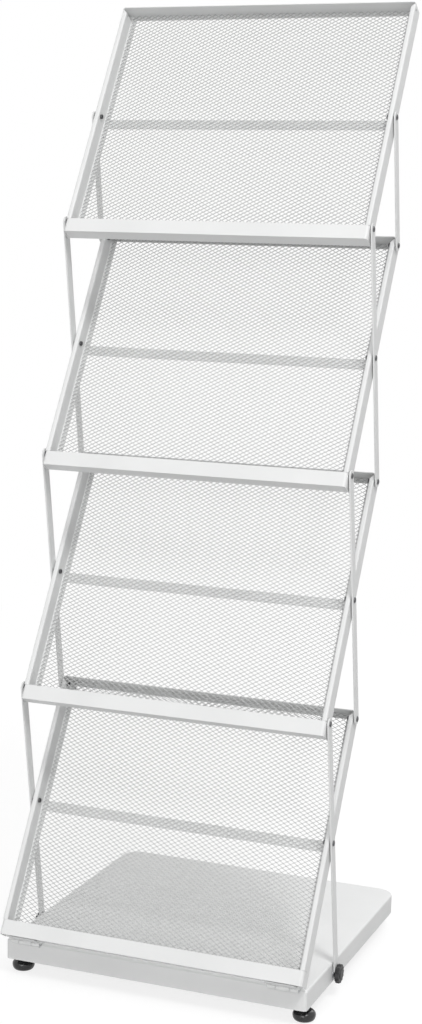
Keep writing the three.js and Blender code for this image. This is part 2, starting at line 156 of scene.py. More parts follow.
# Floor and light, in metres and watts
WHITE = (1, 1, 1, 1)
WORLD_LIGHT = 0.41
FLOOR_COLOUR = (0.56, 0.56, 0.56, 1)
FLOOR_SHADOW_COLOUR = (0.25, 0.25, 0.25, 1)
FLOOR_GLOW = 0.8
FLOOR_FADE = (1.0, 2.6)
FLOOR_HALF = 30.0
LAMPS = (
    # name, place, target, size, power
    ("key", (2.9, -3.0, 6.0), (0, 0, 0.7), 1.6, 195),
    ("front", (0.5, -5.1, 2.0), (0, 0, 0.5), 2.2, 84),
    ("back", (0.4, 5.0, 4.0), (0, 0, 0.3), 4.0, 115),
)

SIDES = (("left", -1), ("right", 1))
TRAYS = (1, 2, 3, 4)
TOP_TRAY = TRAYS[0]
LOWEST_TRAY = TRAYS[-1]


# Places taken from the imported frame

JOINTS = {joint["name"]: joint for joint in frame["joints"]}


def joint_place(name):
    """A joint's place, in millimetres."""
    return Vector(JOINTS[name]["pos_m"]) / MM


def local_box(node, place=Matrix()):
    """Lowest and highest corner of a frame node, seen from a piece's own frame, in millimetres."""
    inward = place.inverted()
    points = [inward @ vertex.co for vertex in frame["nodes"][node].data.vertices]
    low = Vector([min(point[axis] for point in points) for axis in range(3)])
    high = Vector([max(point[axis] for point in points) for axis in range(3)])
    return low / MM, high / MM


def at(x, y, z):
    """Matrix that moves a piece to a place given in millimetres."""
    return Matrix.Translation(Vector((x, y, z)) * MM)


MIDDLE_PIVOT = {number: joint_place(f"straps_{number}_swing") for number in TRAYS}
top_link = joint_place(f"tray_{TOP_TRAY}_swing")
tray_run = MIDDLE_PIVOT[TOP_TRAY] - top_link
strap_run = top_link - MIDDLE_PIVOT[TRAYS[1]]
PIVOT_PITCH = tray_run.length
TRAY_TILT = math.atan2(tray_run.y, tray_run.z)
STRAP_LEAN = math.atan2(-strap_run.y, strap_run.z)


def tray_place(number):
    """A tray's own frame: on its middle pivot, tilted with the tray."""
    return at(*MIDDLE_PIVOT[number]) @ Matrix.Rotation(-TRAY_TILT, 4, "X")


def strap_place(number):
    """The straps' own frame: on their middle pivot, leaning with them."""
    return at(*MIDDLE_PIVOT[number]) @ Matrix.Rotation(STRAP_LEAN, 4, "X")


def side_turn(sign):
    """Pieces drawn for the right side are turned half round for the left."""
    return Matrix.Rotation(0 if sign > 0 else math.pi, 4, "Z")


lock_right = joint_place("lock_knob_right_turn")
LOCK_AXIS = at(0, lock_right.y, lock_right.z)
tray_low, tray_high = local_box(f"tray_frame_{TOP_TRAY}", tray_place(TOP_TRAY))
TRAY_HALF = tray_high.x
TRAY_FRONT, TRAY_BACK = tray_low.y, tray_high.y
TRAY_BOTTOM, TRAY_TOP = tray_low.z, tray_high.z
LIP_TOP = TRAY_BOTTOM + LIP_HEIGHT
CHANNEL_INNER = TRAY_HALF - CHANNEL_WIDTH


# Shapes

class Shape:
    """Points and faces of a piece in millimetres, collected before they become a mesh."""

    def __init__(self):
        self.points = []
        self.faces = []

    def loft(self, rows, caps=True, ring=False):
        """Joins closed rows of points with quads, and closes the ends or joins them in a ring."""
        start = len(self.points)
        count = len(rows[0])
        for row in rows:
            self.points.extend(Vector(point) for point in row)
        pairs = [(index, index + 1) for index in range(len(rows) - 1)]
        if ring:
            pairs.append((len(rows) - 1, 0))
        for first, second in pairs:
            for column in range(count):
                following = (column + 1) % count
                self.faces.append((
                    start + first * count + column,
                    start + first * count + following,
                    start + second * count + following,
                    start + second * count + column,
                ))
        if caps and not ring:
            last = start + (len(rows) - 1) * count
            self.faces.append(tuple(range(start, start + count)))
            self.faces.append(tuple(range(last, last + count)))

    def plate(self, rings, span, edge, place):
        """A flat plate: its outline, then its holes, with the rims cut back by the edge's size."""
        low, high = span
        rims = [inset_ring(ring, edge, index > 0) for index, ring in enumerate(rings)]
        triangles = tessellate_polygon([[Vector((u, v, 0)) for u, v in rim] for rim in rims])
        for level in (low, high):
            start = len(self.points)
            for rim in rims:
                self.points.extend(place(point, level) for point in rim)
            self.faces.extend(tuple(start + corner for corner in triangle) for triangle in triangles)
        for ring, rim in zip(rings, rims):
            self.loft([
                [place(point, low) for point in rim],
                [place(point, low + edge) for point in ring],
                [place(point, high - edge) for point in ring],
                [place(point, high) for point in rim],
            ], caps=False)

    def lathe(self, profile, axis, sides=ROUND_SIDES, ring=False):
        """A round shape from (radius, along) pairs, about X or Z."""
        rows = []
        angles = [2 * math.pi * step / sides for step in range(sides)]
        for radius, along in profile:
            if axis == "X":
                rows.append([(along, radius * math.cos(a), radius * math.sin(a)) for a in angles])
            else:
                rows.append([(radius * math.cos(a), radius * math.sin(a), along) for a in angles])
        self.loft(rows, ring=ring)

    def bent_sheet(self, corners, thickness, extent, place):
        """Sheet along a line with rounded corners. extent gives where it starts and ends across the line."""
        rows = []
        half = thickness / 2
        for point, normal in rounded_line(corners):
            low, high = extent(point)
            left, right = point + normal * half, point - normal * half
            left_rim, right_rim = left - normal * EDGE, right + normal * EDGE
            rows.append([
                place(left, low + EDGE), place(left, high - EDGE),
                place(left_rim, high), place(right_rim, high),
                place(right, high - EDGE), place(right, low + EDGE),
                place(right_rim, low), place(left_rim, low),
            ])
        self.loft(rows)

    def moved(self, place):
        """A copy of this shape, moved by a matrix in metres."""
        copy = Shape()
        copy.points = [(place @ (Vector(point) * MM)) / MM for point in self.points]
        copy.faces = list(self.faces)
        return copy

    def add(self, other):
        start = len(self.points)
        self.points.extend(other.points)
        self.faces.extend(tuple(start + corner for corner in face) for face in other.faces)


def arc(centre, radius, start, end, steps):
    """Points of an arc on a plane, from one angle to another."""
    angles = [start + (end - start) * step / steps for step in range(steps + 1)]
    return [(centre[0] + radius * math.cos(a), centre[1] + radius * math.sin(a)) for a in angles]


def circle(centre, radius, sides=ROUND_SIDES):
    return arc(centre, radius, 0, 2 * math.pi, sides)[:-1]


def quarter_turn(steps):
    """Angles from 0 to a right angle, in equal steps."""
    return [math.pi / 2 * step / steps for step in range(steps + 1)]


def inset_ring(ring, distance, is_hole):
    """A ring moved into the plate's material by a distance at right angles to its sides."""
    area = sum(a[0] * b[1] - b[0] * a[1] for a, b in zip(ring, ring[1:] + ring[:1]))
    facing = 1 if (area > 0) != is_hole else -1
    moved = []
    for before, here, after in zip(ring[-1:] + ring[:-1], ring, ring[1:] + ring[:1]):
        into = (Vector(here) - Vector(before)).normalized()
        out = (Vector(after) - Vector(here)).normalized()
        normal = Vector((-into.y - out.y, into.x + out.x)).normalized()
        spread = max(MITRE_LIMIT, normal.dot(Vector((-into.y, into.x))))
        moved.append(tuple(Vector(here) + normal * (facing * distance / spread)))
    return moved


def rounded_line(corners):
    """Points along a line, each with its left-hand normal. A corner is (u, v, bend radius)."""
    points = [Vector(corner[:2]) for corner in corners]
    first = (points[1] - points[0]).normalized()
    last = (points[-1] - points[-2]).normalized()
    stations = [(points[0], Vector((-first.y, first.x)))]
    for index in range(1, len(points) - 1):
        into = (points[index] - points[index - 1]).normalized()
        out = (points[index + 1] - points[index]).normalized()
        turn = math.atan2(into.x * out.y - into.y * out.x, into.dot(out))
        normal = Vector((-into.y, into.x))
        radius = corners[index][2]
        if not radius:
            stations.append((points[index], normal))
            continue
        side = math.copysign(radius, turn)
        start = points[index] - into * (radius * math.tan(abs(turn) / 2))
        centre = start + normal * side
        for step in range(BEND_STEPS + 1):
            turned = Matrix.Rotation(turn * step / BEND_STEPS, 2) @ normal
            stations.append((centre - turned * side, turned))
    stations.append((points[-1], Vector((-last.y, last.x))))
    return stations


def new_object(name, data):
    made = bpy.data.objects.new(name, data)
    bpy.context.scene.collection.objects.link(made)
    return made


def finished_mesh(name, shape, material, cutters=()):
    """The shape as a mesh in metres: cut, facing outwards and shaded."""
    mesh = bpy.data.meshes.new(name)
    mesh.from_pydata([Vector(point) * MM for point in shape.points], [], shape.faces)
    work = bmesh.new()
    work.from_mesh(mesh)
    bmesh.ops.remove_doubles(work, verts=work.verts, dist=MERGE_DISTANCE * MM)
    bmesh.ops.recalc_face_normals(work, faces=work.faces)
    work.to_mesh(mesh)
    work.free()
    blank = new_object(name, mesh)
    tools = []
    for cutter in cutters:
        tool_name = f"{name}_cutter"
        tool = new_object(tool_name, finished_mesh(tool_name, cutter, None))
        cut = blank.modifiers.new("cut", "BOOLEAN")
        cut.object = tool
        cut.solver = "EXACT"
        tools.append(tool)
    bpy.context.view_layer.update()
    result = bpy.data.meshes.new_from_object(blank.evaluated_get(bpy.context.evaluated_depsgraph_get()))
    for used in [blank, *tools]:
        bpy.data.objects.remove(used)
    result.name = name
    if material:
        result.materials.clear()
        result.materials.append(material)
    shade(result)
    return result


def joined_mesh(name, parts):
    """Coated meshes put together as one."""
    work = bmesh.new()
    for part in parts:
        work.from_mesh(part)
    mesh = bpy.data.meshes.new(name)
    work.to_mesh(mesh)
    work.free()
    mesh.materials.append(COAT)
    shade(mesh)
    return mesh


def shade(mesh):
    """Smooth bends and sharp edges, with normals weighted by area, so that large flats stay flat."""
    mesh.shade_smooth()
    mesh.set_sharp_from_angle(angle=SHARP_ANGLE)
    holder = new_object("shading", mesh)
    weights = holder.modifiers.new("weights", "WEIGHTED_NORMAL")
    weights.keep_sharp = True
    bpy.context.view_layer.update()
    shaded = holder.evaluated_get(bpy.context.evaluated_depsgraph_get()).to_mesh()
    mesh.normals_split_custom_set([Vector(normal.vector) for normal in shaded.corner_normals])
    bpy.data.objects.remove(holder)


def add_piece(name, mesh, place, body, slot, *nodes):
    """Sets a mesh in its place, where it rides on a body and stands for the frame's nodes."""
    piece = new_object(name, mesh)
    piece.matrix_world = place
    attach(piece, body)
    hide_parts(*nodes)


# Materials

def shader_of(material):
    return material.node_tree.nodes["Principled BSDF"]


def add_noise(material, scale, detail):
    """Noise fixed to the piece. scale is in cells per metre."""
    nodes = material.node_tree.nodes
    links = material.node_tree.links
    where = nodes.new("ShaderNodeTexCoord")
    noise = nodes.new("ShaderNodeTexNoise")
    noise.inputs["Scale"].default_value = scale
    noise.inputs["Detail"].default_value = detail
    links.new(where.outputs["Object"], noise.inputs["Vector"])
    return noise


def add_bump(material, source, strength, depth):
    """Relief from a texture. depth is in metres."""
    bump = material.node_tree.nodes.new("ShaderNodeBump")
    bump.inputs["Strength"].default_value = strength
    bump.inputs["Distance"].default_value = depth
    material.node_tree.links.new(source, bump.inputs["Height"])
    material.node_tree.links.new(bump.outputs["Normal"], shader_of(material).inputs["Normal"])


def vary_roughness(material, source, low, high):
    ranged = material.node_tree.nodes.new("ShaderNodeMapRange")
    ranged.inputs["To Min"].default_value = low
    ranged.inputs["To Max"].default_value = high
    material.node_tree.links.new(source, ranged.inputs["Value"])
    material.node_tree.links.new(ranged.outputs["Result"], shader_of(material).inputs["Roughness"])


def vary_colour(material, source, dark, light):
    ramp = material.node_tree.nodes.new("ShaderNodeValToRGB")
    for stop, position, colour in zip(ramp.color_ramp.elements, COLOUR_STOPS, (dark, light)):
        stop.position = position
        stop.color = (*colour, 1)
    material.node_tree.links.new(source, ramp.inputs["Fac"])
    material.node_tree.links.new(ramp.outputs["Color"], shader_of(material).inputs["Base Color"])


def new_material(name, metallic=0.0, specular=0.5):
    material = bpy.data.materials.new(name)
    material.use_nodes = True
    shader_of(material).inputs["Metallic"].default_value = metallic
    shader_of(material).inputs["Specular IOR Level"].default_value = specular
    return material


def powder_coat(name, dark, light, grain):
    """Satin powder coating: faint clouding, uneven gloss and, on wide faces, an orange-peel grain."""
    material = new_material(name, specular=0.4)
    clouds = add_noise(material, scale=9, detail=3)
    vary_colour(material, clouds.outputs["Fac"], dark, light)
    gloss = add_noise(material, scale=160, detail=2)
    vary_roughness(material, gloss.outputs["Fac"], low=0.38, high=0.52)
    if grain:
        peel = add_noise(material, scale=750, detail=1.5)
        add_bump(material, peel.outputs["Fac"], strength=0.25, depth=0.00012)
    return material


def zinc_plate():
    """Zinc plating: bright, with a fine cloudy spangle."""
    material = new_material("zinc", metallic=1.0)
    spangle = add_noise(material, scale=420, detail=4)
    vary_colour(material, spangle.outputs["Fac"], dark=(0.52, 0.53, 0.55), light=(0.68, 0.69, 0.70))
    vary_roughness(material, spangle.outputs["Fac"], low=0.24, high=0.42)
    return material


def dark_steel():
    """Blackened rivet steel with a worn sheen."""
    material = new_material("dark_steel", metallic=0.8)
    wear = add_noise(material, scale=600, detail=3)
    vary_colour(material, wear.outputs["Fac"], dark=(0.075, 0.075, 0.08), light=(0.16, 0.16, 0.165))
    vary_roughness(material, wear.outputs["Fac"], low=0.28, high=0.5)
    return material


def black_plastic(name, low, high, relief):
    """Moulded black plastic with a fine grain."""
    material = new_material(name)
    grain = add_noise(material, scale=2400, detail=2)
    tone = add_noise(material, scale=120, detail=2)
    vary_colour(material, tone.outputs["Fac"], dark=(0.012, 0.012, 0.013), light=(0.024, 0.024, 0.025))
    vary_roughness(material, tone.outputs["Fac"], low, high)
    add_bump(material, grain.outputs["Fac"], strength=relief, depth=0.00008)
    return material


# Painted light and shade: the rails' coat is a lighter copy of the powder coat, painted light that makes
# them look whiter behind the mesh than the frames round them, and the strands' coat is a darker copy,
# painted shade that makes the thin strands look greyer
COAT = powder_coat("powder_coat", (0.775, 0.78, 0.778), (0.815, 0.82, 0.818), grain=True)
LIT_RAIL_COAT = powder_coat("powder_coat_rails_painted_light", (0.9, 0.905, 0.903), (0.93, 0.935, 0.933), grain=True)
SHADED_STRAND_COAT = powder_coat("powder_coat_strands_painted_shade", (0.5, 0.505, 0.503), (0.54, 0.545, 0.543), grain=False)
ZINC = zinc_plate()
DARK_STEEL = dark_steel()
KNOB_PLASTIC = black_plastic("knob_plastic", low=0.42, high=0.58, relief=0.3)
FOOT_PLASTIC = black_plastic("foot_plastic", low=0.18, high=0.32, relief=0.1)


# How a flat drawing stands in a piece's own frame

def upright(point, along):
    """Drawn on X and Y, standing along Z."""
    return (point[0], point[1], along)


def lengthwise(point, along):
    """Drawn on Y and Z, running along X."""
    return (along, point[0], point[1])


def depthwise(point, along):
    """Drawn on X and Z, running along Y."""
    return (point[0], along, point[1])


# Tray pieces, in the tray's own frame

def side_channel():
    """Right side of a tray: outer wall, front rim, inner wall and the flange that the mesh lies on."""
    wall = TRAY_HALF - SHEET / 2
    inner = CHANNEL_INNER + SHEET / 2
    face = TRAY_FRONT + SHEET / 2
    flange = TRAY_BACK - SHEET / 2
    wrap_end = TRAY_FRONT + LIP_WRAP
    inner_start = face + RIM_BEND + SHEET
    mitre_drop = RIM_MITRE_START + CHANNEL_WIDTH - SHEET / 2
    corners = [
        (wall, TRAY_BACK, 0),
        (wall, wrap_end + CUT_STEP, 0),
        (wall, wrap_end, 0),
        (wall, face, RIM_BEND),
        (inner, face, RIM_BEND),
        (inner, inner_start, 0),
        (inner, inner_start + CUT_STEP, 0),
        (inner, flange, FLANGE_BEND),
        (CHANNEL_INNER - BACK_FLANGE, flange, 0),
    ]

    def extent(point):
        x, y = point
        on_outer_wall = x > wall - SHEET / 4
        low_start = wrap_end if on_outer_wall else inner_start
        low = LIP_TOP + SEAM
        if y > low_start + CUT_STEP / 2:
            low = TRAY_BOTTOM + (SEAM if on_outer_wall else BOTTOM_INSET + SHEET + SEAM)
        high = TRAY_TOP - TOP_BEND - SHEET / 2
        if not (on_outer_wall and y > face + RIM_BEND):
            high = min(high, TRAY_TOP - RIM_MITRE_START - (TRAY_HALF - x))
        if x < inner - FLANGE_BEND / 2:
            low = TRAY_BOTTOM + BACK_FLANGE + SEAM
            high = TRAY_TOP - BACK_FLANGE - SEAM
        elif y > inner_start and not on_outer_wall:
            high = TRAY_TOP - mitre_drop
        return low, high

    channel = Shape()
    channel.bent_sheet(corners, SHEET, extent, upright)
    return channel


def pivot_cutters():
    """Bars along X that cut the pivot holes through both walls of the right channel."""
    cutters = []
    for z in (PIVOT_PITCH, 0, -PIVOT_PITCH):
        bar = Shape()
        radius = SHANK_RADIUS + PIVOT_CLEARANCE
        bar.lathe([(radius, CHANNEL_INNER - SHEET), (radius, TRAY_HALF + SHEET)], "X")
        cutters.append(bar.moved(at(0, 0, z)))
    return cutters


def tray_walls():
    """Top wall with its bent ends, bottom wall, the back flanges of both, and the front lip."""
    walls = Shape()
    wall = TRAY_HALF - SHEET / 2
    face = TRAY_FRONT + SHEET / 2
    flange = TRAY_BACK - SHEET / 2
    between = TRAY_HALF - SHEET - SEAM

    top = TRAY_TOP - SHEET / 2
    top_end = TRAY_TOP - TOP_BEND - SHEET / 2
    band = [(-wall, top_end, 0), (-wall, top, TOP_BEND), (wall, top, TOP_BEND), (wall, top_end, 0)]
    walls.bent_sheet(band, SHEET, lambda point: (TRAY_FRONT, TRAY_BACK), depthwise)
    top_flange = [(-between, flange, 0), (between, flange, 0)]
    flange_heights = (TRAY_TOP - BACK_FLANGE, TRAY_TOP - SHEET)
    walls.bent_sheet(top_flange, SHEET, lambda point: flange_heights, upright)

    floor = TRAY_BOTTOM + BOTTOM_INSET + SHEET / 2
    corner_radius = LIP_BEND - SHEET / 2 - SEAM
    corner_y = face + LIP_BEND
    corner_x = wall - LIP_BEND
    section = [(corner_y - corner_radius * math.cos(angle), floor, 0) for angle in quarter_turn(BEND_STEPS)]
    section.append((flange, floor, RIM_BEND))
    section.append((flange, TRAY_BOTTOM + BACK_FLANGE, 0))

    def bottom_extent(point):
        ahead = max(0.0, corner_y - point[0])
        half = corner_x + math.sqrt(max(0.0, corner_radius ** 2 - ahead ** 2))
        half = min(half, between)
        return -half, half

    walls.bent_sheet(section, SHEET, bottom_extent, lengthwise)

    wrap_end = TRAY_FRONT + LIP_WRAP
    lip = [(-wall, wrap_end, 0), (-wall, face, LIP_BEND), (wall, face, LIP_BEND), (wall, wrap_end, 0)]
    walls.bent_sheet(lip, SHEET, lambda point: (TRAY_BOTTOM, LIP_TOP), upright)
    return walls


def tray_frame_mesh():
    walls = finished_mesh("tray_walls", tray_walls(), COAT)
    right = finished_mesh("side_channel", side_channel(), COAT, pivot_cutters())
    left = right.copy()
    left.transform(Matrix.Scale(-1, 4, (1, 0, 0)))
    left.flip_normals()
    return joined_mesh("tray_frame_sheet", [walls, right, left])


panel_low, panel_high = local_box(f"mesh_panel_{TOP_TRAY}", tray_place(TOP_TRAY))


def expanded_metal():
    """Zigzag strands that meet at their bends: flat bars, tilted with their lower edges forward."""
    panel = Shape()
    stretches = round((panel_high.x - panel_low.x) / (DIAMOND_WIDTH / 2))
    strands = 2 * round((panel_high.z - panel_low.z) / DIAMOND_HEIGHT)
    step = (panel_high.x - panel_low.x) / stretches
    pitch = (panel_high.z - panel_low.z) / strands
    depth = 2 * STRAND_WIDTH * abs(math.sin(STRAND_TILT)) + STRAND_THICKNESS * math.cos(STRAND_TILT)
    middle = panel_high.y - depth / 2
    swing = (pitch - STRAND_WIDTH * math.cos(STRAND_TILT)) / 2
    lift = STRAND_WIDTH * math.sin(STRAND_TILT) / 2
    across = Vector((0, math.sin(STRAND_TILT), math.cos(STRAND_TILT))) * (STRAND_WIDTH / 2)
    through = Vector((0, math.cos(STRAND_TILT), -math.sin(STRAND_TILT))) * (STRAND_THICKNESS / 2)
    for strand in range(strands):
        level = panel_low.z + (strand + 0.5) * pitch
        rows = []
        for index in range(stretches + 1):
            phase = 1 if (strand + index) % 2 else -1
            centre = Vector((panel_low.x + index * step, middle - lift * phase, level + swing * phase))
            rows.append([
                centre + across - through, centre + across + through,
                centre - across + through, centre - across - through,
            ])
        panel.loft(rows)
    mesh = bpy.data.meshes.new("expanded_metal")
    mesh.from_pydata([point * MM for point in panel.points], [], panel.faces)
    # Darker coat: painted shade on the thin strands
    mesh.materials.append(SHADED_STRAND_COAT)
    work = bmesh.new()
    work.from_mesh(mesh)
    bmesh.ops.recalc_face_normals(work, faces=work.faces)
    unwrap_strands(work, strands, stretches)
    work.to_mesh(mesh)
    work.free()
    return mesh


def unwrap_strands(work, strands, stretches):
    """Bake map: along the strand on U, and on V a band for each strand with a share for each of its sides."""
    bake = work.loops.layers.uv.new("OFBake")
    faces_per_strand = stretches * STRAND_SIDES + 2
    for index, face in enumerate(work.faces):
        strand, rest = divmod(index, faces_per_strand)
        stretch, side = divmod(rest, STRAND_SIDES)
        is_end = rest >= stretches * STRAND_SIDES
        left = min(stretch, stretches - 1) / stretches
        width = 0 if is_end else 1 / stretches
        bottom = (strand + (0 if is_end else side / STRAND_SIDES)) / strands
        height = 1 / (STRAND_SIDES * strands)
        corners = ((0, 0), (1, 0), (1, 1), (0, 1))
        for loop, (u, v) in zip(face.loops, corners):
            loop[bake].uv = (left + u * width, bottom + v * height)


def rail_mesh():
    low, high = local_box(f"cross_rail_{TOP_TRAY}", tray_place(TOP_TRAY))
    rail = Shape()
    line = [(low.x, (low.y + high.y) / 2, 0), (high.x, (low.y + high.y) / 2, 0)]
    rail.bent_sheet(line, high.y - low.y, lambda point: (low.z, high.z), upright)
    # Lighter coat: painted light on the rail behind the mesh
    return finished_mesh("cross_rail_bar", rail, LIT_RAIL_COAT)


strap_low, strap_high = local_box(f"strap_{TOP_TRAY}_right", strap_place(TOP_TRAY))
STRAP_INNER, STRAP_OUTER = strap_low.x, strap_high.x
STRAP_HALF = (strap_high.y - strap_low.y) / 2
rivet_low, rivet_high = local_box(f"rivet_middle_{TOP_TRAY}_right", tray_place(TOP_TRAY))


def rivet_mesh():
    """Right-hand rivet: hollow tail inside the tray, shoulder between tray and strap, domed head outside."""
    tail_seat = CHANNEL_INNER - SEAT_GAP
    head_seat = STRAP_OUTER + SEAT_GAP
    profile = [
        (RIVET_HOLLOW_RADIUS, rivet_low.x + RIVET_HOLLOW_DEPTH),
        (RIVET_HOLLOW_RADIUS, rivet_low.x + RIVET_TAIL_EDGE),
        (RIVET_HOLLOW_RADIUS + RIVET_TAIL_EDGE, rivet_low.x),
        (RIVET_TAIL_RADIUS - RIVET_TAIL_EDGE, rivet_low.x),
        (RIVET_TAIL_RADIUS, rivet_low.x + RIVET_TAIL_EDGE),
        (RIVET_TAIL_RADIUS, tail_seat),
        (SHANK_RADIUS, tail_seat),
        (SHANK_RADIUS, TRAY_HALF + SEAT_GAP),
        (SHOULDER_RADIUS, TRAY_HALF + SEAT_GAP),
        (SHOULDER_RADIUS, STRAP_INNER - SEAT_GAP),
        (SHANK_RADIUS, STRAP_INNER - SEAT_GAP),
        (SHANK_RADIUS, head_seat),
    ]
    for angle in quarter_turn(DOME_STEPS)[:-1]:
        along = head_seat + (rivet_high.x - head_seat) * math.sin(angle)
        profile.append((RIVET_HEAD_RADIUS * math.cos(angle), along))
    rivet = Shape()
    rivet.lathe(profile, "X")
    return finished_mesh("pivot_rivet", rivet, DARK_STEEL)


# Straps, in their own frame

def strap_mesh(number):
    """Right strap: flat bar with round ends and pivot holes. The lowest one hooks over the lock screw."""
    above = 0 if number == TOP_TRAY else PIVOT_PITCH
    lock = lock_right - MIDDLE_PIVOT[LOWEST_TRAY]
    below = math.hypot(lock.y, lock.z) if number == LOWEST_TRAY else PIVOT_PITCH
    outline = arc((0, above), STRAP_HALF, 0, math.pi, ROUND_SIDES // 2)
    if number == LOWEST_TRAY:
        outline += slotted_end(below)
    else:
        outline += arc((0, -below), STRAP_HALF, math.pi, 2 * math.pi, ROUND_SIDES // 2)
    heights = {above, 0} if number == LOWEST_TRAY else {above, 0, -below}
    holes = [circle((0, z), SHANK_RADIUS + PIVOT_CLEARANCE) for z in sorted(heights)]
    strap = Shape()
    strap.plate([outline, *holes], (STRAP_INNER, STRAP_OUTER), STRAP_EDGE, lengthwise)
    return finished_mesh(f"strap_bar_{number}", strap, COAT)


def slotted_end(below):
    """Lower end of the lowest strap, from its front edge to its rear edge, with a slot open to the front."""
    half = LOCK_SCREW_RADIUS + PIVOT_CLEARANCE
    slope = Matrix.Rotation(-SLOT_RISE, 2)

    def turned(u, v):
        point = slope @ Vector((u, v))
        return (point.x, point.y - below)

    upper_seat = turned(0, half)
    run = (STRAP_HALF + upper_seat[0]) / math.cos(SLOT_RISE)
    mouth_top = (-STRAP_HALF, upper_seat[1] + run * math.sin(SLOT_RISE))
    seat = [turned(*point) for point in arc((0, 0), half, math.pi / 2, -math.pi / 2, CORNER_STEPS)]
    mouth_bottom = slope @ Vector((-math.sqrt(STRAP_HALF ** 2 - half ** 2), -half))
    start = math.atan2(mouth_bottom.y, mouth_bottom.x) % (2 * math.pi)
    tip = arc((0, -below), STRAP_HALF, start, 2 * math.pi, ROUND_SIDES // 2)
    return [mouth_top, *seat, *tip]


# Base, feet and locks

base_low, base_high = local_box("base_plate")


def base_ring(inset, z):
    """Outline of the base in plan, drawn in by a distance."""
    half = base_high.x - inset
    front, rear = base_low.y + inset, base_high.y - inset
    near = max(BASE_FRONT_RADIUS - inset, EDGE)
    far = max(BASE_REAR_RADIUS - inset, EDGE)
    quarter = math.pi / 2
    points = arc((half - near, front + near), near, -quarter, 0, CORNER_STEPS)
    points += arc((half - far, rear - far), far, 0, quarter, CORNER_STEPS)
    points += arc((far - half, rear - far), far, quarter, 2 * quarter, CORNER_STEPS)
    points += arc((near - half, front + near), near, 2 * quarter, 3 * quarter, CORNER_STEPS)
    return [(x, y, z) for x, y in points]


def base_mesh():
    """Shallow inverted tray with soft top edges, and the lock screws' nuts welded inside its walls."""
    rows = []
    bends = quarter_turn(BEND_STEPS)
    inner_bend = BASE_BEND - BASE_SHEET
    ceiling = base_high.z - BASE_SHEET
    for angle in reversed(bends):
        inset = BASE_BEND - inner_bend * math.cos(angle)
        rows.append(base_ring(inset, ceiling - inner_bend + inner_bend * math.sin(angle)))
    rows.append(base_ring(BASE_SHEET, base_low.z + EDGE))
    rows.append(base_ring(BASE_SHEET - EDGE, base_low.z))
    rows.append(base_ring(EDGE, base_low.z))
    rows.append(base_ring(0, base_low.z + EDGE))
    for angle in bends:
        inset = BASE_BEND - BASE_BEND * math.cos(angle)
        rows.append(base_ring(inset, base_high.z - BASE_BEND + BASE_BEND * math.sin(angle)))
    base = Shape()
    base.loft(rows)
    bore = Shape()
    radius = LOCK_SCREW_RADIUS + PIVOT_CLEARANCE
    bore.lathe([(radius, -base_high.x - SHEET), (radius, base_high.x + SHEET)], "X")
    shell = finished_mesh("base_shell", base, COAT, [bore.moved(LOCK_AXIS)])
    nuts = Shape()
    for _, sign in SIDES:
        nut = Shape()
        wall = base_high.x - BASE_SHEET
        rings = [circle((0, 0), LOCK_NUT_RADIUS, HEX_SIDES), circle((0, 0), radius)]
        nut.plate(rings, (wall - LOCK_NUT_LENGTH, wall), STRAP_EDGE, lengthwise)
        nuts.add(nut.moved(LOCK_AXIS @ side_turn(sign)))
    return joined_mesh("base_sheet", [shell, finished_mesh("lock_nuts", nuts, COAT)])


def threaded(radius, start, end):
    """Profile of a bar with rounded thread rings, from one end to the other."""
    turns = int((end - start) / THREAD_PITCH)
    pitch = (end - start) / turns
    profile = [(radius - THREAD_DEPTH, start)]
    for turn in range(turns):
        for along, depth in THREAD_RING:
            profile.append((radius - depth * THREAD_DEPTH, start + (turn + along) * pitch))
    profile.append((radius - THREAD_DEPTH, end))
    return profile


foot_low, foot_high = local_box("levelling_foot_front_right")
FOOT_RADIUS = (foot_high.x - foot_low.x) / 2


def foot_pad_mesh():
    """Smooth round foot: flat sole, bulging side and a dome that closes round the stud."""
    profile = [(FOOT_SOLE_RADIUS - FOOT_SOLE_EDGE, 0), (FOOT_SOLE_RADIUS, FOOT_SOLE_RISE)]
    bulge = FOOT_RADIUS - FOOT_SOLE_RADIUS
    bulge_height = FOOT_WIDEST_HEIGHT - FOOT_SOLE_RISE
    dome = FOOT_RADIUS - FOOT_NECK_RADIUS
    dome_height = FOOT_PAD_HEIGHT - FOOT_WIDEST_HEIGHT
    angles = quarter_turn(FOOT_STEPS)[1:]
    for angle in angles:
        height = FOOT_WIDEST_HEIGHT - bulge_height * math.cos(angle)
        profile.append((FOOT_SOLE_RADIUS + bulge * math.sin(angle), height))
    for angle in angles:
        height = FOOT_WIDEST_HEIGHT + dome_height * math.sin(angle)
        profile.append((FOOT_NECK_RADIUS + dome * math.cos(angle), height))
    pad = Shape()
    pad.lathe(profile, "Z", sides=FINE_SIDES)
    return finished_mesh("foot_pad", pad, FOOT_PLASTIC)


def foot_stud_mesh():
    stud = Shape()
    stud.lathe(threaded(STUD_RADIUS, FOOT_PAD_HEIGHT + SEAM, foot_high.z), "Z")
    return finished_mesh("foot_stud", stud, ZINC)


def foot_nut_mesh():
    low, high = local_box("foot_nut_front_right")
    nut = Shape()
    radius = (high.x - low.x) / 2
    rings = [circle((0, 0), radius, HEX_SIDES), circle((0, 0), STUD_RADIUS + PIVOT_CLEARANCE)]
    nut.plate(rings, (low.z, high.z), STRAP_EDGE, upright)
    return finished_mesh("foot_nut_hex", nut, ZINC)


knob_low, knob_high = local_box("lock_knob_right", LOCK_AXIS)
KNOB_RADIUS = (knob_high.z - knob_low.z) / 2
KNOB_INNER = STRAP_OUTER + SEAT_GAP


def knob_ring(radius, flute, x):
    """Outline of the knob at one level, with rounded lobes between its flutes."""
    count = KNOB_FLUTES * FLUTE_STEPS
    ring = []
    for index in range(count):
        angle = 2 * math.pi * index / count
        dip = abs(math.sin(KNOB_FLUTES * angle / 2)) ** KNOB_FLUTE_POWER
        reach = radius - flute * dip
        ring.append((x, reach * math.cos(angle), reach * math.sin(angle)))
    return ring


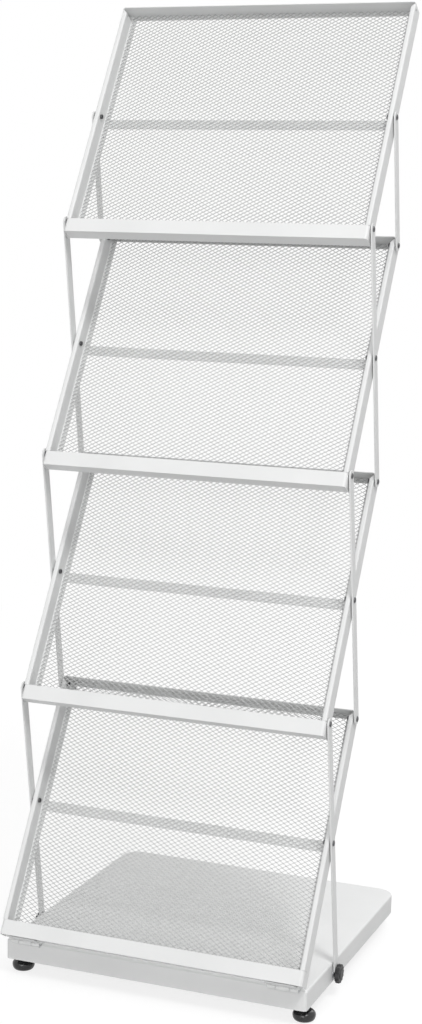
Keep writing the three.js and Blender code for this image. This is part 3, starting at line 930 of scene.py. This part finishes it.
def knob_mesh():
    """Fluted thumb knob with rounded rims and a low cap in the middle of its face."""
    face = knob_high.x - KNOB_CAP_RISE
    rows = [knob_ring(KNOB_RADIUS - KNOB_RIM, KNOB_FLUTE_DEPTH / 2, KNOB_INNER)]
    for angle in quarter_turn(BEND_STEPS):
        inset = KNOB_RIM * (1 - math.sin(angle))
        x = KNOB_INNER + KNOB_RIM * (1 - math.cos(angle))
        rows.append(knob_ring(KNOB_RADIUS - inset, KNOB_FLUTE_DEPTH, x))
    for angle in quarter_turn(BEND_STEPS):
        inset = KNOB_RIM * (1 - math.cos(angle))
        x = face - KNOB_RIM * (1 - math.sin(angle))
        rows.append(knob_ring(KNOB_RADIUS - inset, KNOB_FLUTE_DEPTH, x))
    rows.append(knob_ring(KNOB_CAP_RADIUS + KNOB_GROOVE_WIDTH, KNOB_GROOVE_FLUTE, face))
    rows.append(knob_ring(KNOB_CAP_RADIUS + KNOB_GROOVE_WIDTH / 2, 0, face - KNOB_GROOVE_DEPTH))
    rows.append(knob_ring(KNOB_CAP_RADIUS, 0, face - KNOB_CAP_EDGE))
    rows.append(knob_ring(KNOB_CAP_RADIUS - KNOB_CAP_EDGE, 0, knob_high.x - KNOB_CAP_EDGE))
    rows.append(knob_ring(KNOB_CAP_RADIUS - KNOB_CAP_ROUND, 0, knob_high.x))
    knob = Shape()
    knob.loft(rows)
    return finished_mesh("lock_knob_body", knob, KNOB_PLASTIC)


def lock_screw_mesh():
    screw = Shape()
    screw.lathe(threaded(LOCK_SCREW_RADIUS, knob_low.x, KNOB_INNER - SEAM), "X")
    return finished_mesh("lock_screw", screw, ZINC)


def washer_mesh():
    low, high = local_box("lock_washer_right", LOCK_AXIS)
    washer = Shape()
    rings = [circle((0, 0), high.z, FINE_SIDES), circle((0, 0), LOCK_SCREW_RADIUS + PIVOT_CLEARANCE)]
    washer.plate(rings, (low.x, high.x), EDGE, lengthwise)
    return finished_mesh("lock_washer_ring", washer, ZINC)


# Hinges, with the hinge's middle on the axis at the origin

pin_low, pin_high = local_box("hinge_pin_right")
hinge_axis = (pin_low + pin_high) / 2
_, leaf_high = local_box("hinge_base_leaf_right", at(*hinge_axis))
HINGE_HALF = leaf_high.x
HINGE_REACH = leaf_high.y


def knuckle(shape, start, end):
    """Rolled knuckle round the pin."""
    bore = HINGE_PIN_RADIUS + SEAT_GAP
    outer = HINGE_KNUCKLE_RADIUS
    profile = [
        (bore, start), (outer - EDGE, start), (outer, start + EDGE),
        (outer, end - EDGE), (outer - EDGE, end), (bore, end),
    ]
    shape.lathe(profile, "X", ring=True)


def leaf_plate(shape, near, far, span):
    """Leaf drawn on X and Y, with its far corners rounded."""
    radius = HINGE_LEAF_CORNER
    side = math.copysign(1, far)
    quarter = side * math.pi / 2
    corner_y = far - side * radius
    outline = [(HINGE_HALF, near)]
    outline += arc((HINGE_HALF - radius, corner_y), radius, 0, quarter, CORNER_STEPS)
    outline += arc((radius - HINGE_HALF, corner_y), radius, quarter, 2 * quarter, CORNER_STEPS)
    outline.append((-HINGE_HALF, near))
    shape.plate([outline], span, EDGE, upright)


def tongue(shape, span_x, span_y, span_z):
    """Flat neck that joins a leaf to a knuckle."""
    left, right = span_x
    near, far = span_y
    outline = [(left, near), (right, near), (right, far), (left, far)]
    shape.plate([outline], span_z, EDGE, upright)


def base_leaf_mesh():
    leaf = Shape()
    middle = HINGE_MIDDLE_KNUCKLE / 2 + HINGE_GAP
    near = HINGE_KNUCKLE_RADIUS + HINGE_GAP
    thickness = (-HINGE_LEAF / 2, HINGE_LEAF / 2)
    leaf_plate(leaf, near, HINGE_REACH, thickness)
    for start, end in ((-HINGE_HALF, -middle), (middle, HINGE_HALF)):
        knuckle(leaf, start, end)
        tongue(leaf, (start, end), (HINGE_KNUCKLE_RADIUS - EDGE, near), thickness)
    return finished_mesh("hinge_leaf_on_base", leaf, COAT)


def tray_leaf_mesh():
    leaf = Shape()
    middle = HINGE_MIDDLE_KNUCKLE / 2
    near = HINGE_KNUCKLE_RADIUS + HINGE_GAP
    thickness = (HINGE_KNUCKLE_RADIUS - HINGE_LEAF, HINGE_KNUCKLE_RADIUS)
    leaf_plate(leaf, -near, -HINGE_REACH, thickness)
    knuckle(leaf, -middle, middle)
    tongue(leaf, (-middle, middle), (-near, -HINGE_PIN_RADIUS), thickness)
    return finished_mesh("hinge_leaf_on_tray", leaf, COAT)


def pin_mesh():
    pin = Shape()
    half = (pin_high.x - pin_low.x) / 2
    radius = HINGE_PIN_RADIUS
    profile = [(radius - EDGE, -half), (radius, EDGE - half), (radius, half - EDGE), (radius - EDGE, half)]
    pin.lathe(profile, "X")
    return finished_mesh("hinge_pin_bar", pin, ZINC)


# The rack put together

def add_trays():
    sheet = tray_frame_mesh()
    strands = expanded_metal()
    rail = rail_mesh()
    rivet = rivet_mesh()
    for number in TRAYS:
        place = tray_place(number)
        body = f"tray_{number}"
        add_piece(f"tray_sheet_{number}", sheet, place, body, "powder_coat", f"tray_frame_{number}")
        add_piece(f"tray_strands_{number}", strands, place, body, "powder_coat", f"mesh_panel_{number}")
        add_piece(f"tray_rail_{number}", rail, place, body, "powder_coat", f"cross_rail_{number}")
        heights = {"middle": 0}
        if number != TOP_TRAY:
            heights["top"] = PIVOT_PITCH
        if number != LOWEST_TRAY:
            heights["bottom"] = -PIVOT_PITCH
        for label, z in heights.items():
            for side, sign in SIDES:
                node = f"rivet_{label}_{number}_{side}"
                turned = place @ at(0, 0, z) @ side_turn(sign)
                add_piece(f"pivot_{label}_{number}_{side}", rivet, turned, body, "dark_steel", node)


def add_straps():
    for number in TRAYS:
        right = strap_mesh(number)
        left = right.copy()
        left.transform(at(-STRAP_INNER - STRAP_OUTER, 0, 0))
        place = strap_place(number)
        body = f"straps_{number}"
        for (side, _), mesh in zip(SIDES, (left, right)):
            name = f"{number}_{side}"
            add_piece(f"strap_bar_{name}", mesh, place, body, "powder_coat", f"strap_{name}")


def add_base():
    add_piece("base_sheet", base_mesh(), Matrix(), "base", "powder_coat", "base_plate")
    pad = foot_pad_mesh()
    stud = foot_stud_mesh()
    nut = foot_nut_mesh()
    for side, _ in SIDES:
        for end in ("front", "rear"):
            name = f"{end}_{side}"
            node = f"levelling_foot_{name}"
            place = at(*joint_place(f"{node}_turn"))
            add_piece(f"foot_pad_{name}", pad, place, node, "black_plastic", node)
            add_piece(f"foot_stud_{name}", stud, place, node, "zinc", node)
            add_piece(f"foot_hex_{name}", nut, place, "base", "zinc", f"foot_nut_{name}")


def add_locks():
    knob = knob_mesh()
    screw = lock_screw_mesh()
    washer = washer_mesh()
    for side, sign in SIDES:
        place = LOCK_AXIS @ side_turn(sign)
        node = f"lock_knob_{side}"
        add_piece(f"knob_{side}", knob, place, node, "black_plastic", node)
        add_piece(f"knob_screw_{side}", screw, place, node, "zinc", node)
        add_piece(f"washer_{side}", washer, place, "base", "zinc", f"lock_washer_{side}")


def add_hinges():
    base_leaf = base_leaf_mesh()
    tray_leaf = tray_leaf_mesh()
    pin = pin_mesh()
    body = f"tray_{LOWEST_TRAY}"
    for side, sign in SIDES:
        place = at(sign * hinge_axis.x, hinge_axis.y, hinge_axis.z)
        tilted = place @ Matrix.Rotation(-TRAY_TILT, 4, "X")
        node = f"hinge_base_leaf_{side}"
        add_piece(f"hinge_fixed_leaf_{side}", base_leaf, place, "base", "powder_coat", node)
        node = f"hinge_tray_leaf_{side}"
        add_piece(f"hinge_moving_leaf_{side}", tray_leaf, tilted, body, "powder_coat", node)
        node = f"hinge_pin_{side}"
        add_piece(f"hinge_rod_{side}", pin, place, "base", "zinc", node)


# Camera, floor and light

def add_camera():
    yaw, pitch, roll = (math.radians(angle) for angle in (CAMERA_YAW, CAMERA_PITCH, CAMERA_ROLL))
    forward = Vector((-math.sin(yaw) * math.cos(pitch), math.cos(yaw) * math.cos(pitch), math.sin(pitch)))
    level = Vector((math.cos(yaw), math.sin(yaw), 0))
    upward = level.cross(forward)
    right = level * math.cos(roll) + upward * math.sin(roll)
    up = upward * math.cos(roll) - level * math.sin(roll)
    turn = Matrix((right, up, -forward)).transposed().to_4x4()
    data = bpy.data.cameras.new("camera")
    width, height = PICTURE
    data.sensor_width = SENSOR
    data.lens = FOCAL_LENGTH / height * SENSOR
    data.shift_x = (width / 2 - OPTICAL_CENTRE[0]) / height
    data.shift_y = (OPTICAL_CENTRE[1] - height / 2) / height
    data.clip_end = CAMERA_REACH * MM
    camera = new_object("camera", data)
    camera.matrix_world = at(*CAMERA_PLACE) @ turn
    bpy.context.scene.camera = camera


def seen_directly(tree):
    """1 for what the camera sees, also in a reflection or through glass, 0 for light that falls on things."""
    path = tree.nodes.new("ShaderNodeLightPath")
    total = path.outputs["Is Camera Ray"]
    for name in ("Is Glossy Ray", "Is Transmission Ray"):
        larger = tree.nodes.new("ShaderNodeMath")
        larger.operation = "MAXIMUM"
        tree.links.new(total, larger.inputs[0])
        tree.links.new(path.outputs[name], larger.inputs[1])
        total = larger.outputs["Value"]
    return total


def distance_share(tree, start, end):
    """0 near the origin, rising to 1 between two distances from it, in metres."""
    where = tree.nodes.new("ShaderNodeTexCoord")
    length = tree.nodes.new("ShaderNodeVectorMath")
    length.operation = "LENGTH"
    ranged = tree.nodes.new("ShaderNodeMapRange")
    ranged.interpolation_type = "SMOOTHSTEP"
    ranged.inputs["From Min"].default_value = start
    ranged.inputs["From Max"].default_value = end
    tree.links.new(where.outputs["Object"], length.inputs[0])
    tree.links.new(length.outputs["Value"], ranged.inputs["Value"])
    return ranged.outputs["Result"]


def add_world():
    world = bpy.data.worlds.new("studio")
    bpy.context.scene.world = world
    world.use_nodes = True
    tree = world.node_tree
    output = tree.nodes["World Output"]
    light = tree.nodes["Background"]
    light.inputs["Color"].default_value = WHITE
    light.inputs["Strength"].default_value = WORLD_LIGHT
    shown = tree.nodes.new("ShaderNodeBackground")
    shown.inputs["Color"].default_value = WHITE
    shown.inputs["Strength"].default_value = 1
    choice = tree.nodes.new("ShaderNodeMixShader")
    tree.links.new(seen_directly(tree), choice.inputs["Fac"])
    tree.links.new(light.outputs["Background"], choice.inputs[1])
    tree.links.new(shown.outputs["Background"], choice.inputs[2])
    tree.links.new(choice.outputs["Shader"], output.inputs["Surface"])


def add_floor():
    """Pale floor that lights the rack from below. Seen directly, it is white with the rack's soft shadow."""
    mesh = bpy.data.meshes.new("floor")
    corners = [(-1, -1), (1, -1), (1, 1), (-1, 1)]
    mesh.from_pydata([(x * FLOOR_HALF, y * FLOOR_HALF, 0) for x, y in corners], [], [(0, 1, 2, 3)])
    floor = new_object("floor", mesh)
    material = bpy.data.materials.new("floor")
    material.use_nodes = True
    tree = material.node_tree
    tree.nodes.remove(tree.nodes["Principled BSDF"])
    pale = tree.nodes.new("ShaderNodeBsdfDiffuse")
    pale.inputs["Color"].default_value = FLOOR_COLOUR
    shadowed = tree.nodes.new("ShaderNodeBsdfDiffuse")
    shadowed.inputs["Color"].default_value = FLOOR_SHADOW_COLOUR
    glow = tree.nodes.new("ShaderNodeEmission")
    glow.inputs["Strength"].default_value = FLOOR_GLOW
    shown = tree.nodes.new("ShaderNodeAddShader")
    tree.links.new(shadowed.outputs["BSDF"], shown.inputs[0])
    tree.links.new(glow.outputs["Emission"], shown.inputs[1])
    white = tree.nodes.new("ShaderNodeEmission")
    white.inputs["Strength"].default_value = 1
    faded = tree.nodes.new("ShaderNodeMixShader")
    tree.links.new(distance_share(tree, *FLOOR_FADE), faded.inputs["Fac"])
    tree.links.new(shown.outputs["Shader"], faded.inputs[1])
    tree.links.new(white.outputs["Emission"], faded.inputs[2])
    choice = tree.nodes.new("ShaderNodeMixShader")
    tree.links.new(seen_directly(tree), choice.inputs["Fac"])
    tree.links.new(pale.outputs["BSDF"], choice.inputs[1])
    tree.links.new(faded.outputs["Shader"], choice.inputs[2])
    tree.links.new(choice.outputs["Shader"], tree.nodes["Material Output"].inputs["Surface"])
    mesh.materials.append(material)


def add_lamps():
    for name, place, target, size, power in LAMPS:
        data = bpy.data.lights.new(name, "AREA")
        data.energy = power
        data.size = size
        lamp = new_object(name, data)
        aim = (Vector(target) - Vector(place)).to_track_quat("-Z", "Y")
        lamp.matrix_world = Matrix.Translation(place) @ aim.to_matrix().to_4x4()


bpy.context.scene.view_settings.view_transform = "Standard"
add_camera()
add_trays()
add_straps()
add_base()
add_locks()
add_hinges()
add_world()
add_floor()
add_lamps()
